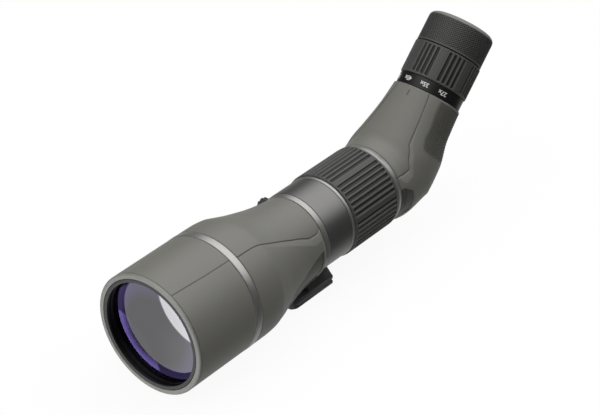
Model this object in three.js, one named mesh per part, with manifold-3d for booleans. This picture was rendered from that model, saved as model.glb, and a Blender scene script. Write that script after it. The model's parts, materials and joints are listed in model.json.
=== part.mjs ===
// Angled spotting scope, 80 mm class, as an assembly of separate pieces.
// Millimetres, +Z up. The objective faces -Y, the eyepiece rises towards +Y, and the origin is the
// centre of the tripod foot's flat bottom. Pieces of the main tube are turned round +Y, and their
// profiles are written as [radius, station], where station 0 is the front rim.

import * as THREE from 'three';
import { mergeVertices } from 'three/addons/utils/BufferGeometryUtils.js';
import Module from 'manifold-3d';

const wasm = await Module();
wasm.setup();

// Driving dimensions
const FOOT_DROP = 50.5;        // optical axis above the foot's bottom
const FOOT_STATION = 165;      // station of the foot's centre
const GAP = 0.3;               // clearance between neighbouring pieces
const TURNS = 30;              // facets round a full turn
const HIDDEN_TURNS = 24;       // facets round the pieces inside
const SMALL_TURNS = 16;        // facets round screws, pins and the knob

const TUBE_RADIUS = 49;        // outside of the lens shade and of the tube behind it
const BORE_RADIUS = 45;        // opening of the lens shade
const SHADE_END = 61.6;        // rear edge of the lens shade
const RING_A_END = 68.3;       // bright ring behind the lens shade
const RING_B_START = 160.8;    // bright bevel in front of the collar
const COLLAR_START = 165.4;
const COLLAR_END = 192.7;
const FOCUS_START = 196.2;     // ribbed focus ring
const FOCUS_END = 248.3;
const HOUSING_START = 254;     // front face of the prism housing
const FOCUS_PIN_STATION = 222; // pin between the focus ring and the cell it drives
const NECK_RADIUS = 31;        // tube that the collar and the focus ring turn on
const COLLAR_RADIUS = 34.1;
const FOCUS_RADIUS = 35.4;

const EYE_ANGLE = Math.PI / 4; // eyepiece axis above the main axis
const EYE_STATION = 300;       // a point on the eyepiece axis, station and height
const EYE_HEIGHT = 14.25;
const HOUSING_TOP = 43.4;      // end of the prism housing, measured along the eyepiece axis
const BAND_END = 53.3;         // scale band
const GRIP_END = 81.7;         // zoom grip
const CUP_END = 109;           // eyecup's crown
const EYE_RADIUS = 29;         // prism housing where it meets the scale band

// Materials
const standard = (color, roughness, metalness) =>
  new THREE.MeshStandardMaterial({ color, roughness, metalness });
const armour = () => standard(0x77766f, 0.55, 0.0);
const satinMetal = () => standard(0x7c7d7c, 0.35, 0.8);
const brightMetal = () => standard(0xd8d8d6, 0.22, 1.0);
const blackMetal = () => standard(0x151515, 0.45, 0.6);
const blackPlastic = () => standard(0x1b1b1b, 0.6, 0.0);
const grip = () => standard(0x3c3c3a, 0.75, 0.0);
const seal = () => standard(0x101010, 0.8, 0.0);
const brass = () => standard(0xb08d4a, 0.35, 1.0);
const steel = () => standard(0x9a9c9e, 0.3, 1.0);
const glass = () => standard(0x8d8aa0, 0.05, 0.0);

// Shapes
function outward(geometry) {
  // turns every face over if the closed mesh is inside out
  const { position } = geometry.attributes;
  const corner = [new THREE.Vector3(), new THREE.Vector3(), new THREE.Vector3()];
  let volume = 0;
  for (let i = 0; i < geometry.index.count; i += 3) {
    corner.forEach((v, k) => v.fromBufferAttribute(position, geometry.index.getX(i + k)));
    volume += corner[0].dot(corner[1].cross(corner[2]));
  }
  if (volume < 0) geometry.setIndex(Array.from(geometry.index.array).reverse());
  return geometry;
}

function bare(geometry) {
  // keeps only the positions and merges the shared corners
  const copy = geometry.clone();
  copy.deleteAttribute('normal');
  copy.deleteAttribute('uv');
  return outward(mergeVertices(copy, 1e-4));
}

function toManifold(geometry) {
  const clean = bare(geometry);
  return new wasm.Manifold(new wasm.Mesh({
    numProp: 3,
    vertProperties: new Float32Array(clean.attributes.position.array),
    triVerts: new Uint32Array(clean.index.array),
  }));
}

function fromManifold(manifold) {
  const mesh = manifold.getMesh();
  const geometry = new THREE.BufferGeometry();
  geometry.setAttribute('position', new THREE.BufferAttribute(mesh.vertProperties, 3));
  geometry.setIndex(new THREE.BufferAttribute(mesh.triVerts, 1));
  return geometry;
}

const cut = (body, ...tools) =>
  fromManifold(tools.reduce((left, tool) => left.subtract(toManifold(tool)), toManifold(body)));
const join = (body, ...others) =>
  fromManifold(others.reduce((left, other) => left.add(toManifold(other)), toManifold(body)));
const common = (a, b) => fromManifold(toManifold(a).intersect(toManifold(b)));

function turned(profile, turns = TURNS) {
  // profile of [radius, station] points; it closes on itself unless both ends are on the axis
  const points = profile.map(([r, s]) => new THREE.Vector2(r, s));
  const onAxis = profile[0][0] === 0 && profile[profile.length - 1][0] === 0;
  if (!onAxis) points.push(points[0].clone());
  return bare(new THREE.LatheGeometry(points, turns));
}

const ring = (inner, outer, start, end, turns = TURNS) =>
  turned([[inner, start], [outer, start], [outer, end], [inner, end]], turns);
const disc = (radius, start, end, turns = TURNS) =>
  turned([[0, start], [radius, start], [radius, end], [0, end]], turns);

function lens(radius, start, end, frontBulge, rearBulge, turns = TURNS) {
  // glass between two shallow domes; a negative bulge is hollow
  const steps = 2;
  const front = [];
  const rear = [];
  for (let i = 0; i <= steps; i += 1) {
    const r = (radius * i) / steps;
    const drop = (r / radius) ** 2;
    front.push([r, start - frontBulge * (1 - drop)]);
    rear.unshift([r, end + rearBulge * (1 - drop)]);
  }
  return turned([...front, ...rear], turns);
}

function block(width, depth, height, x, y, z) {
  return bare(new THREE.BoxGeometry(width, depth, height).translate(x, y, z));
}

function rodAlongX(radius, from, to, y, z, turns = SMALL_TURNS) {
  const rod = new THREE.CylinderGeometry(radius, radius, to - from, turns);
  return bare(rod.rotateZ(Math.PI / 2).translate((from + to) / 2, y, z));
}

function rodAlongZ(radius, from, to, x, y, turns = SMALL_TURNS) {
  const rod = new THREE.CylinderGeometry(radius, radius, to - from, turns);
  return bare(rod.rotateX(Math.PI / 2).translate(x, y, (from + to) / 2));
}

function sideProfile(points, width) {
  // outline of [station, height] points, extruded across X and centred on it
  const shape = new THREE.Shape(points.map(([s, h]) => new THREE.Vector2(s, h)));
  const flat = new THREE.ExtrudeGeometry(shape, { depth: width, bevelEnabled: false });
  return bare(flat.translate(0, 0, -width / 2).applyMatrix4(new THREE.Matrix4().makeBasis(
    new THREE.Vector3(0, 1, 0), new THREE.Vector3(0, 0, 1), new THREE.Vector3(1, 0, 0))));
}

// Groups: the main tube, and the eyepiece, whose own Y axis is the eyepiece axis
const scope = new THREE.Group();
scope.position.set(0, -FOOT_STATION, FOOT_DROP);
const eyepiece = new THREE.Group();
eyepiece.position.set(0, EYE_STATION, EYE_HEIGHT);
eyepiece.rotation.x = EYE_ANGLE;
scope.add(eyepiece);
const part = new THREE.Group();
part.add(scope);

function piece(parent, name, geometry, material) {
  const mesh = new THREE.Mesh(geometry, material);
  mesh.name = name;
  parent.add(mesh);
}

// Mount: collar, liner, foot and their fasteners
const COLLAR_BORE = 32.4;
const PAD_HEIGHT = -38;        // flat underside of the collar's pad
const KNOB_STATION = 178;
const SCREW_STATIONS = [172, 181.5];
const PAD_HALF_WIDTH = 12;
const FOOT_HALF_WIDTH = 19;
const PEDESTAL_HALF_WIDTH = 17.6;
const RAIL_TOP = -42.5;
const INSERT_STATION = 155;

function tripodCollar() {
  const band = turned([
    [COLLAR_BORE, COLLAR_START], [COLLAR_RADIUS - 0.4, COLLAR_START], [COLLAR_RADIUS, COLLAR_START + 0.6],
    [COLLAR_RADIUS, COLLAR_END - 0.6], [COLLAR_RADIUS - 0.4, COLLAR_END], [COLLAR_BORE, COLLAR_END]]);
  const pad = block(2 * PAD_HALF_WIDTH, 21.4, -30 - PAD_HEIGHT, 0, 176.3, (PAD_HEIGHT - 30) / 2);
  const boss = rodAlongX(6.2, -37.2, -31, KNOB_STATION, 0);
  const outside = join(band, pad, boss);
  const bore = disc(COLLAR_BORE, COLLAR_START - 1, COLLAR_END + 1);
  const screwHoles = SCREW_STATIONS.map((s) => rodAlongZ(2.2, PAD_HEIGHT - 1, -33.6, 0, s));
  const lockHole = rodAlongX(4.6, -41, -30, KNOB_STATION, 0);
  return cut(outside, bore, lockHole, ...screwHoles);
}

function collarLiner() {
  const sleeve = ring(NECK_RADIUS + GAP, COLLAR_BORE - GAP, COLLAR_START + 0.4, COLLAR_END - 0.4);
  return cut(sleeve, rodAlongX(4.6, -40, -30, KNOB_STATION, 0));
}

function mountingFoot() {
  // rail with dovetail flanks, and a pedestal whose saddle wraps the collar and its pad
  const bottom = -FOOT_DROP;
  const groove = bottom + 5.5;
  const halves = [[FOOT_HALF_WIDTH, bottom], [FOOT_HALF_WIDTH, bottom + 2.5], [FOOT_HALF_WIDTH - 3, groove],
    [FOOT_HALF_WIDTH - 1, groove + 2.2], [FOOT_HALF_WIDTH - 1.6, RAIL_TOP]];
  const outline = [...halves, ...halves.map(([x, z]) => [-x, z]).reverse()];
  const shape = new THREE.Shape(outline.map(([x, z]) => new THREE.Vector2(x, z)));
  const rail = bare(new THREE.ExtrudeGeometry(shape, { depth: 50, bevelEnabled: false })
    .rotateX(Math.PI / 2).translate(0, 187.4, 0));
  const nose = sideProfile([[130, bottom - 1], [142.6, bottom - 1], [142.6, bottom], [138.4, bottom + 3.5],
    [137.6, bottom + 5.5], [138.6, RAIL_TOP + 1], [130, RAIL_TOP + 1]], 60);
  const pedestal = sideProfile([[159.5, RAIL_TOP - 0.5], [161, -29], [180.5, -29], [187.4, RAIL_TOP - 0.5]],
    2 * PEDESTAL_HALF_WIDTH);
  const saddle = disc(COLLAR_RADIUS + GAP + 0.2, 150, 195);
  const padPocket = block(2 * PAD_HALF_WIDTH + 0.6, 22, 20, 0, 176.3, PAD_HEIGHT - GAP + 10);
  const screwHoles = SCREW_STATIONS.flatMap((s) => [
    rodAlongZ(2.2, bottom, PAD_HEIGHT + 1, 0, s), rodAlongZ(4.2, bottom - 1, bottom + 5, 0, s)]);
  const insertHole = rodAlongZ(5.2, bottom - 1, RAIL_TOP + 1, 0, INSERT_STATION);
  return cut(join(rail, pedestal), nose, saddle, padPocket, insertHole, ...screwHoles);
}

function footScrew(station) {
  const head = rodAlongZ(3.8, -FOOT_DROP + 1, -FOOT_DROP + 4.7, 0, station);
  const shank = rodAlongZ(1.9, -FOOT_DROP + 4, -34, 0, station);
  const socket = rodAlongZ(1.6, -FOOT_DROP, -FOOT_DROP + 3, 0, station, 6);
  return cut(join(head, shank), socket);
}

function tripodThreadInsert() {
  const bush = rodAlongZ(4.9, -FOOT_DROP + 0.4, RAIL_TOP - 0.4, 0, INSERT_STATION);
  return cut(bush, rodAlongZ(3.175, -FOOT_DROP, RAIL_TOP, 0, INSERT_STATION));
}

function lockBush() {
  const bush = rodAlongX(4.3, -36.9, -33.4, KNOB_STATION, 0);
  return cut(bush, rodAlongX(2.8, -40, -32, KNOB_STATION, 0));
}

piece(scope, 'tripod_collar', tripodCollar(), satinMetal());
piece(scope, 'collar_liner', collarLiner(), blackPlastic());
piece(scope, 'mounting_foot', mountingFoot(), blackMetal());
piece(scope, 'foot_screw_front', footScrew(SCREW_STATIONS[0]), steel());
piece(scope, 'foot_screw_rear', footScrew(SCREW_STATIONS[1]), steel());
piece(scope, 'tripod_thread_insert', tripodThreadInsert(), steel());
piece(scope, 'lock_bush', lockBush(), brass());

// Lock knob, its screw and the soft brass tip pressed on the screw's end
function lockKnob() {
  const outside = new THREE.CylinderGeometry(7.2, 7.4, 8.4, SMALL_TURNS).rotateZ(Math.PI / 2)
    .translate(-41.9, KNOB_STATION, 0);
  const flutes = [];
  const count = 10;
  for (let i = 0; i < count; i += 1) {
    const a = (2 * Math.PI * i) / count;
    flutes.push(rodAlongX(1.3, -49, -37, KNOB_STATION + 7.8 * Math.cos(a), 7.8 * Math.sin(a), 8));
  }
  return cut(bare(outside), rodAlongX(2.8, -45, -37, KNOB_STATION, 0), ...flutes);
}

piece(scope, 'lock_knob', lockKnob(), blackPlastic());
piece(scope, 'lock_screw', rodAlongX(2.5, -44.7, -33.4, KNOB_STATION, 0), steel());
piece(scope, 'lock_screw_tip', rodAlongX(4.2, -33.1, -31.4, KNOB_STATION, 0), brass());

// Barrel: casting, moulded skin and bright rings
const SKIN = 2.4;              // thickness of the moulded skin
const TAPER = [[TUBE_RADIUS, RING_A_END + GAP], [TUBE_RADIUS, 86], [47.3, 95], [42.6, 110], [38.8, 125],
  [35.7, 140], [33.2, RING_B_START - GAP]];
const TUBE_OUTER = 44.6;       // casting and objective cell, inside the lens shade
const CELL_FRONT = 0.5;
const CELL_REAR = 33.5;
const inset = (profile, by) => profile.map(([r, s]) => [r - by, s]);

function mainBody() {
  const neckBore = NECK_RADIUS - 2.4;
  const bore = TAPER.filter(([, s]) => s > 88).map(([r, s]) => [Math.max(r - SKIN - 4, neckBore), s]);
  const outside = [[TUBE_OUTER, CELL_REAR + GAP], [TUBE_OUTER, SHADE_END + GAP], [46, SHADE_END + GAP],
    [46, RING_A_END], ...inset(TAPER, SKIN + GAP), [NECK_RADIUS, RING_B_START],
    [NECK_RADIUS, HOUSING_START - GAP]];
  const inside = [[neckBore, HOUSING_START - GAP], ...bore.reverse(), [41.9, 86], [41.9, CELL_REAR + GAP]];
  // the slot lets the focus pin reach the focusing cell
  const slot = block(3.6, 24, 10, 0, FOCUS_PIN_STATION, NECK_RADIUS);
  return cut(turned([...outside, ...inside]), slot);
}

const bodyArmour = () => turned([...TAPER, ...inset(TAPER, SKIN).reverse()]);
const accentRingFront = () => turned([[46.3, SHADE_END + GAP], [TUBE_RADIUS, SHADE_END + GAP],
  [TUBE_RADIUS + 0.15, 63.5], [TUBE_RADIUS + 0.15, 67.5], [TUBE_RADIUS, RING_A_END], [46.3, RING_A_END]]);
const accentRingBody = () => turned([[NECK_RADIUS + GAP, RING_B_START], [33.1, RING_B_START],
  [COLLAR_RADIUS, COLLAR_START - GAP], [NECK_RADIUS + GAP, COLLAR_START - GAP]]);
const collarRetainingRing = () => turned([[NECK_RADIUS + GAP, COLLAR_END + GAP], [34.2, COLLAR_END + GAP],
  [34.5, 194.2], [34.2, FOCUS_START - GAP], [NECK_RADIUS + GAP, FOCUS_START - GAP]]);
const accentRingPrism = () => turned([[NECK_RADIUS + GAP, FOCUS_END + GAP], [34.6, FOCUS_END + GAP],
  [35.2, 249.6], [34.3, HOUSING_START - GAP], [NECK_RADIUS + GAP, HOUSING_START - GAP]]);

piece(scope, 'main_body', mainBody(), blackMetal());
piece(scope, 'body_armour', bodyArmour(), armour());
piece(scope, 'accent_ring_front', accentRingFront(), brightMetal());
piece(scope, 'accent_ring_body', accentRingBody(), brightMetal());
piece(scope, 'collar_retaining_ring', collarRetainingRing(), brightMetal());
piece(scope, 'accent_ring_prism', accentRingPrism(), brightMetal());

// Objective: cell, two glasses with a spacer between them, retaining ring and seal
const CELL_BORE = 43;
const GLASS_RADIUS = CELL_BORE - GAP;
const objectiveCell = () => turned([[CELL_BORE, CELL_FRONT], [TUBE_OUTER, CELL_FRONT], [TUBE_OUTER, CELL_REAR],
  [CELL_BORE - 2.4, CELL_REAR], [CELL_BORE - 2.4, 30.8], [CELL_BORE, 30.8]]);

piece(scope, 'objective_cell', objectiveCell(), blackMetal());
piece(scope, 'objective_retaining_ring', ring(42.4, GLASS_RADIUS, 5.2, 7.4, HIDDEN_TURNS), blackMetal());
piece(scope, 'objective_lens_front', lens(GLASS_RADIUS, 9.5, 18, 3.4, -2.6, HIDDEN_TURNS), glass());
piece(scope, 'objective_spacer', ring(41.4, GLASS_RADIUS, 18.3, 19.5, HIDDEN_TURNS), blackMetal());
piece(scope, 'objective_lens_rear', lens(GLASS_RADIUS, 19.8, 27.4, -2.2, 0.6, HIDDEN_TURNS), glass());
piece(scope, 'objective_seal', ring(41.4, GLASS_RADIUS, 28.4, 30.5, HIDDEN_TURNS), seal());
piece(scope, 'shade_friction_ring', ring(44.9, 45.3, 40, 48), seal());
piece(scope, 'baffle_ring_front', ring(33, 41.5, 78, 79.2, HIDDEN_TURNS), blackPlastic());
piece(scope, 'baffle_ring_rear', ring(22, 28, 158, 159.2, HIDDEN_TURNS), blackPlastic());
piece(scope, 'focus_seal_front', ring(NECK_RADIUS + 0.25, 32.25, 197.5, 199.3), seal());
piece(scope, 'focus_seal_rear', ring(NECK_RADIUS + 0.25, 32.25, 245, 246.8), seal());

// Lens shade
const lensShade = () => turned([[BORE_RADIUS + 0.6, 2.2], [TUBE_RADIUS, 2.2], [TUBE_RADIUS, SHADE_END - 0.6],
  [TUBE_RADIUS - 0.6, SHADE_END], [BORE_RADIUS + 0.6, SHADE_END]]);
const lensShadeRim = () => turned([[BORE_RADIUS, 0.6], [BORE_RADIUS + 0.6, 0], [TUBE_RADIUS - 0.6, 0],
  [TUBE_RADIUS, 0.6], [TUBE_RADIUS, 1.9], [BORE_RADIUS, 1.9]]);

piece(scope, 'lens_shade', lensShade(), armour());
piece(scope, 'lens_shade_rim', lensShadeRim(), satinMetal());

// Focus ring and the cell it drives
const FOCUS_BORE = 32.6;
const focusRing = () => ring(FOCUS_BORE, FOCUS_RADIUS - 1.8, FOCUS_START + 0.4, FOCUS_END - 0.4);
const focusGrip = () => turned([[FOCUS_RADIUS - 1.5, FOCUS_START], [FOCUS_RADIUS - 0.9, FOCUS_START],
  [FOCUS_RADIUS, FOCUS_START + 1.2], [FOCUS_RADIUS, FOCUS_END - 1.2], [FOCUS_RADIUS - 0.9, FOCUS_END],
  [FOCUS_RADIUS - 1.5, FOCUS_END]]);
const focusingCell = () => turned([[23.2, 214], [28.1, 214], [28.1, 230], [23.2, 230],
  [23.2, 227], [25.8, 227], [25.8, 217], [23.2, 217]]);

piece(scope, 'focus_ring', focusRing(), blackMetal());
piece(scope, 'focus_grip', focusGrip(), grip());
piece(scope, 'focusing_cell', focusingCell(), blackMetal());
piece(scope, 'focusing_lens', lens(25.4, 218.5, 225.5, -1.5, -1.5, HIDDEN_TURNS), glass());
piece(scope, 'focus_pin', rodAlongZ(1.4, 28.5, 32, 0, FOCUS_PIN_STATION), steel());

// Prism housing: an elbow of superellipse sections whose planes turn about a pivot above the bend
const BEND_STATION = 285.75;   // where the two axes cross
const PIVOT_DISTANCE = 45;     // from that crossing, along the bend's middle plane
const SECTIONS = 10;
const SECTION_POINTS = 28;
const LOFT = {
  at: [0, 0.16, 0.32, 0.49, 0.74, 1],
  halfWidth: [34.2, 34.9, 35.3, 34.4, 29.9, EYE_RADIUS],
  below: [34.2, 36.9, 30.2, 29.9, 29.4, EYE_RADIUS],
  above: [34.2, 36.9, 39.3, 37.6, 33.4, EYE_RADIUS],
  power: [2, 2.2, 2.34, 2.3, 2.15, 2],
};
const PIVOT = new THREE.Vector2(
  BEND_STATION - PIVOT_DISTANCE * Math.sin(EYE_ANGLE / 2), PIVOT_DISTANCE * Math.cos(EYE_ANGLE / 2));

function sectionPlane(u) {
  // centre and tilt of the section at a share u of the way along the elbow
  const along = new THREE.Vector2(Math.cos(EYE_ANGLE), Math.sin(EYE_ANGLE));
  const eyeStart = (PIVOT.x - EYE_STATION) * along.x + (PIVOT.y - EYE_HEIGHT) * along.y;
  const straight = PIVOT.x - HOUSING_START;
  const bend = EYE_ANGLE * PIVOT.y * 0.9;
  const travel = u * (straight + bend + HOUSING_TOP - eyeStart);
  if (travel < straight) return { centre: new THREE.Vector2(HOUSING_START + travel, 0), tilt: 0 };
  if (travel > straight + bend) {
    const eyePoint = new THREE.Vector2(EYE_STATION, EYE_HEIGHT);
    return { centre: eyePoint.addScaledVector(along, eyeStart + travel - straight - bend), tilt: EYE_ANGLE };
  }
  const tilt = (EYE_ANGLE * (travel - straight)) / bend;
  const lean = Math.min(tilt, EYE_ANGLE - tilt);
  const reach = PIVOT.y / Math.cos(lean);
  const down = new THREE.Vector2(Math.sin(tilt), -Math.cos(tilt));
  return { centre: PIVOT.clone().addScaledVector(down, reach), tilt };
}

function elbow(offset, overshoot) {
  // closed loft of the sections, moved inwards by offset and lengthened at both ends by overshoot
  const curve = (name) => new THREE.CubicInterpolant(LOFT.at, LOFT[name], 1);
  const curves = Object.fromEntries(['halfWidth', 'below', 'above', 'power'].map((n) => [n, curve(n)]));
  const positions = [];
  const indices = [];
  for (let i = 0; i < SECTIONS; i += 1) {
    const u = i / (SECTIONS - 1);
    const value = (name) => curves[name].evaluate(u)[0];
    const [halfWidth, below, above, power] = ['halfWidth', 'below', 'above', 'power'].map(value);
    const end = { 0: -overshoot, [SECTIONS - 1]: overshoot }[i] ?? 0;
    const { centre, tilt } = sectionPlane(u + end);
    for (let j = 0; j < SECTION_POINTS; j += 1) {
      const a = (2 * Math.PI * j) / SECTION_POINTS;
      const rounded = (x) => Math.sign(x) * Math.abs(x) ** (2 / power);
      const v = ((Math.sin(a) > 0 ? above : below) - offset) * rounded(Math.sin(a));
      positions.push((halfWidth - offset) * rounded(Math.cos(a)),
        centre.x - v * Math.sin(tilt), centre.y + v * Math.cos(tilt));
      if (i > 0) {
        const k = (j + 1) % SECTION_POINTS;
        const [p, q] = [(i - 1) * SECTION_POINTS, i * SECTION_POINTS];
        indices.push(p + j, q + j, p + k, p + k, q + j, q + k);
      }
    }
  }
  const last = (SECTIONS - 1) * SECTION_POINTS;
  for (let j = 1; j < SECTION_POINTS - 1; j += 1) {
    indices.push(0, j, j + 1, last, last + j + 1, last + j);
  }
  const geometry = new THREE.BufferGeometry();
  geometry.setAttribute('position', new THREE.Float32BufferAttribute(positions, 3));
  geometry.setIndex(indices);
  return outward(geometry);
}

const HOUSING_WALL = 2.2;
const prismArmour = () => cut(elbow(0, 0), elbow(SKIN, 0.02));
const prismHousing = () => cut(elbow(SKIN + GAP, 0), elbow(SKIN + GAP + HOUSING_WALL, 0.02));

piece(scope, 'prism_housing', prismHousing(), blackMetal());
piece(scope, 'prism_armour', prismArmour(), armour());

// Erecting prism with its roof edge, the cradle it sits in and the strap that holds it
const PRISM_HALF_WIDTH = 12;
const STRAP_STATION = 268;
const SIDE_SCREW_HEIGHT = -4;

function erectingPrism() {
  const outline = [[264, -17.7], [264, 23], [289.5, 31.8], [317, 4.3]];
  const body = sideProfile(outline, 2 * PRISM_HALF_WIDTH);
  const [[s0, h0], , , [s1, h1]] = outline;
  const roof = new THREE.BoxGeometry(80, 160, 80).translate(40, 0, 40).rotateY(-Math.PI / 4)
    .rotateX(Math.atan2(h1 - h0, s1 - s0)).translate(0, (s0 + s1) / 2, (h0 + h1) / 2);
  return common(body, bare(roof));
}

function prismCradle() {
  const plate = disc(27.5, 259.4, 261.6);
  const walls = [-1, 1].map((side) => block(1.4, 24, 16, side * (PRISM_HALF_WIDTH + 1.1), 273, -3));
  const window = block(22, 6, 26, 0, 260.5, 2);
  const holes = rodAlongX(1.3, -20, 20, STRAP_STATION, SIDE_SCREW_HEIGHT, 12);
  return cut(join(plate, ...walls), window, holes);
}

function prismClamp() {
  const outer = block(31, 6, 36, 0, STRAP_STATION, 9);
  const inner = block(28.6, 8, 38, 0, STRAP_STATION, 7);
  const holes = rodAlongX(1.3, -20, 20, STRAP_STATION, SIDE_SCREW_HEIGHT, 12);
  return cut(outer, inner, holes);
}

function prismScrew(side) {
  const shank = [12.8, 16.2].map((x) => side * x).sort((a, b) => a - b);
  const head = [15.8, 17.4].map((x) => side * x).sort((a, b) => a - b);
  return join(rodAlongX(1, ...shank, STRAP_STATION, SIDE_SCREW_HEIGHT, 12),
    rodAlongX(2, ...head, STRAP_STATION, SIDE_SCREW_HEIGHT, 12));
}

piece(scope, 'erecting_prism', erectingPrism(), glass());
piece(scope, 'prism_cradle', prismCradle(), blackMetal());
piece(scope, 'prism_clamp', prismClamp(), steel());
piece(scope, 'prism_screw_left', prismScrew(-1), steel());
piece(scope, 'prism_screw_right', prismScrew(1), steel());

// Eyepiece: fixed tube and eye lens; stations run along the eyepiece axis
const EYE_TUBE = 20.5;
const EYE_BORE = 17.6;
const FRONT_CELL = 46;         // rest stations of the two zoom cells
const REAR_CELL = 62;
const CELL_LENGTH = 8;

function eyepieceTube() {
  const tube = turned([[EYE_BORE, 38.5], [24, 38.5], [24, 43], [EYE_TUBE, 43], [EYE_TUBE, 97.5],
    [EYE_BORE, 97.5]]);
  const frontSlot = block(8, 12.4, 3, EYE_TUBE - 1, FRONT_CELL + CELL_LENGTH / 2 + 0.3, 0);
  const rearSlot = block(8, 9.4, 3, 1 - EYE_TUBE, REAR_CELL + CELL_LENGTH / 2 - 0.2, 0);
  return cut(tube, frontSlot, rearSlot);
}

function zoomCell(start, side) {
  // lens ring with a guide pin that reaches through the tube's slot
  const body = ring(13.4, EYE_BORE - GAP, start, start + CELL_LENGTH, HIDDEN_TURNS);
  const reach = [15.5, EYE_TUBE - 0.2].map((x) => side * x).sort((a, b) => a - b);
  return join(body, rodAlongX(1.1, ...reach, start + CELL_LENGTH / 2, 0, 12));
}

const eyeLensCell = () => turned([[15.4, 76], [17.3, 76], [17.3, 96], [16.3, 96], [16.3, 86], [15.4, 86]],
  HIDDEN_TURNS);
const zoomLens = (start, end, bulge) => lens(13.1, start, end, bulge, bulge, HIDDEN_TURNS);

piece(eyepiece, 'eyepiece_tube', eyepieceTube(), blackMetal());
piece(eyepiece, 'eyepiece_seal', ring(20.8, 23.6, 36.2, 38.2, HIDDEN_TURNS), seal());
piece(eyepiece, 'eye_lens_cell', eyeLensCell(), blackMetal());
piece(eyepiece, 'eye_lens', lens(16, 87, 93.6, 1.5, 1.8, HIDDEN_TURNS), glass());
piece(eyepiece, 'eye_lens_ring', ring(15, EYE_TUBE, 97.8, 99.4), blackMetal());
piece(eyepiece, 'zoom_cell_front', zoomCell(FRONT_CELL, 1), blackMetal());
piece(eyepiece, 'zoom_lens_front', zoomLens(FRONT_CELL + 1.5, FRONT_CELL + 6.5, -1), glass());
piece(eyepiece, 'zoom_cell_rear', zoomCell(REAR_CELL, -1), blackMetal());
piece(eyepiece, 'zoom_lens_rear', zoomLens(REAR_CELL + 1.8, REAR_CELL + 6.2, 1), glass());

// Zoom ring: cam sleeve, scale band and rubber grip
const SLEEVE_OUTER = 24.2;
const BAND_RADIUS = 27.7;
const GRIP_RADIUS = 28.6;
const zoomScaleBand = () => ring(SLEEVE_OUTER + GAP, BAND_RADIUS, HOUSING_TOP + GAP, BAND_END);
const zoomGrip = () => turned([[SLEEVE_OUTER + GAP, BAND_END + GAP], [GRIP_RADIUS - 0.9, BAND_END + GAP],
  [GRIP_RADIUS, BAND_END + 1.5], [GRIP_RADIUS, GRIP_END - 1.2], [GRIP_RADIUS - 0.9, GRIP_END],
  [SLEEVE_OUTER + GAP, GRIP_END]]);

piece(eyepiece, 'zoom_cam_sleeve', ring(EYE_TUBE + 0.4, SLEEVE_OUTER, 44, 81.4), blackMetal());
piece(eyepiece, 'zoom_scale_band', zoomScaleBand(), blackMetal());
piece(eyepiece, 'zoom_grip', zoomGrip(), grip());

// Eyecup: cam ring, sliding sleeve and knurled rubber cup
const CUP_START = 82.5;
const CUP_RADIUS = 28.2;
const CUP_OPENING = 17.5;
const eyecupGrip = () => turned([
  [25.7, CUP_START], [CUP_RADIUS - 0.6, CUP_START], [CUP_RADIUS, CUP_START + 0.6], [CUP_RADIUS, 103],
  [27.4, 105.6], [25.6, 107.8], [23, CUP_END], [CUP_OPENING + 1.5, CUP_END],
  [CUP_OPENING, 107.4], [CUP_OPENING, 104.4], [25.7, 104.4]]);

piece(eyepiece, 'eyecup_cam_ring', ring(EYE_TUBE + 0.4, 22.6, 84, 96), blackMetal());
piece(eyepiece, 'eyecup_sleeve', ring(23, 25.4, CUP_START, 104), blackPlastic());
piece(eyepiece, 'eyecup_grip', eyecupGrip(), grip());

export default part;
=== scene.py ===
"""Looks of an angled spotting scope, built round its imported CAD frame. Lengths are in millimetres."""
import json
import math

import bmesh
import bpy
import numpy as np
from mathutils import Matrix, Vector


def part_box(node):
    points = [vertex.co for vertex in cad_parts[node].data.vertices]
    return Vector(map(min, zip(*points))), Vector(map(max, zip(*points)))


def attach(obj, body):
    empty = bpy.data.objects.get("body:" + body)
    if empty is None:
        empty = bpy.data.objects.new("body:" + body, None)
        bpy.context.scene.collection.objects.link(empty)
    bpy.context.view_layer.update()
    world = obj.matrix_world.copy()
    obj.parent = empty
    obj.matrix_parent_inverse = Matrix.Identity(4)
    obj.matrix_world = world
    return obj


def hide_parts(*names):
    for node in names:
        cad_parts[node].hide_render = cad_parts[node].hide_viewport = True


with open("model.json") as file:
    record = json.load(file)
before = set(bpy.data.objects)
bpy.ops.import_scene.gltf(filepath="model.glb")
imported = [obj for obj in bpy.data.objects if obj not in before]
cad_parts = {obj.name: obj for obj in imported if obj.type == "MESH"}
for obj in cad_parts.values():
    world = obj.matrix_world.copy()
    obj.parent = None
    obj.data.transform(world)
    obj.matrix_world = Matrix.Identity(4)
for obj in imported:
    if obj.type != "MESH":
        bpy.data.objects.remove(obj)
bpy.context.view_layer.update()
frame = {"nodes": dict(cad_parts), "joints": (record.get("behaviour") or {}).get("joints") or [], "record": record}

MM = 0.001
NODES = frame["nodes"]
SLOT_OF = {part["node"]: part["material_slot"] for part in frame["record"]["subparts"]}
BODY_OF = {n: body for body, names in frame["record"]["behaviour"]["bodies"].items() for n in names}
JOINTS = {joint["name"]: joint for joint in frame["joints"]}


# ---- axes of the two tubes

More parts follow.
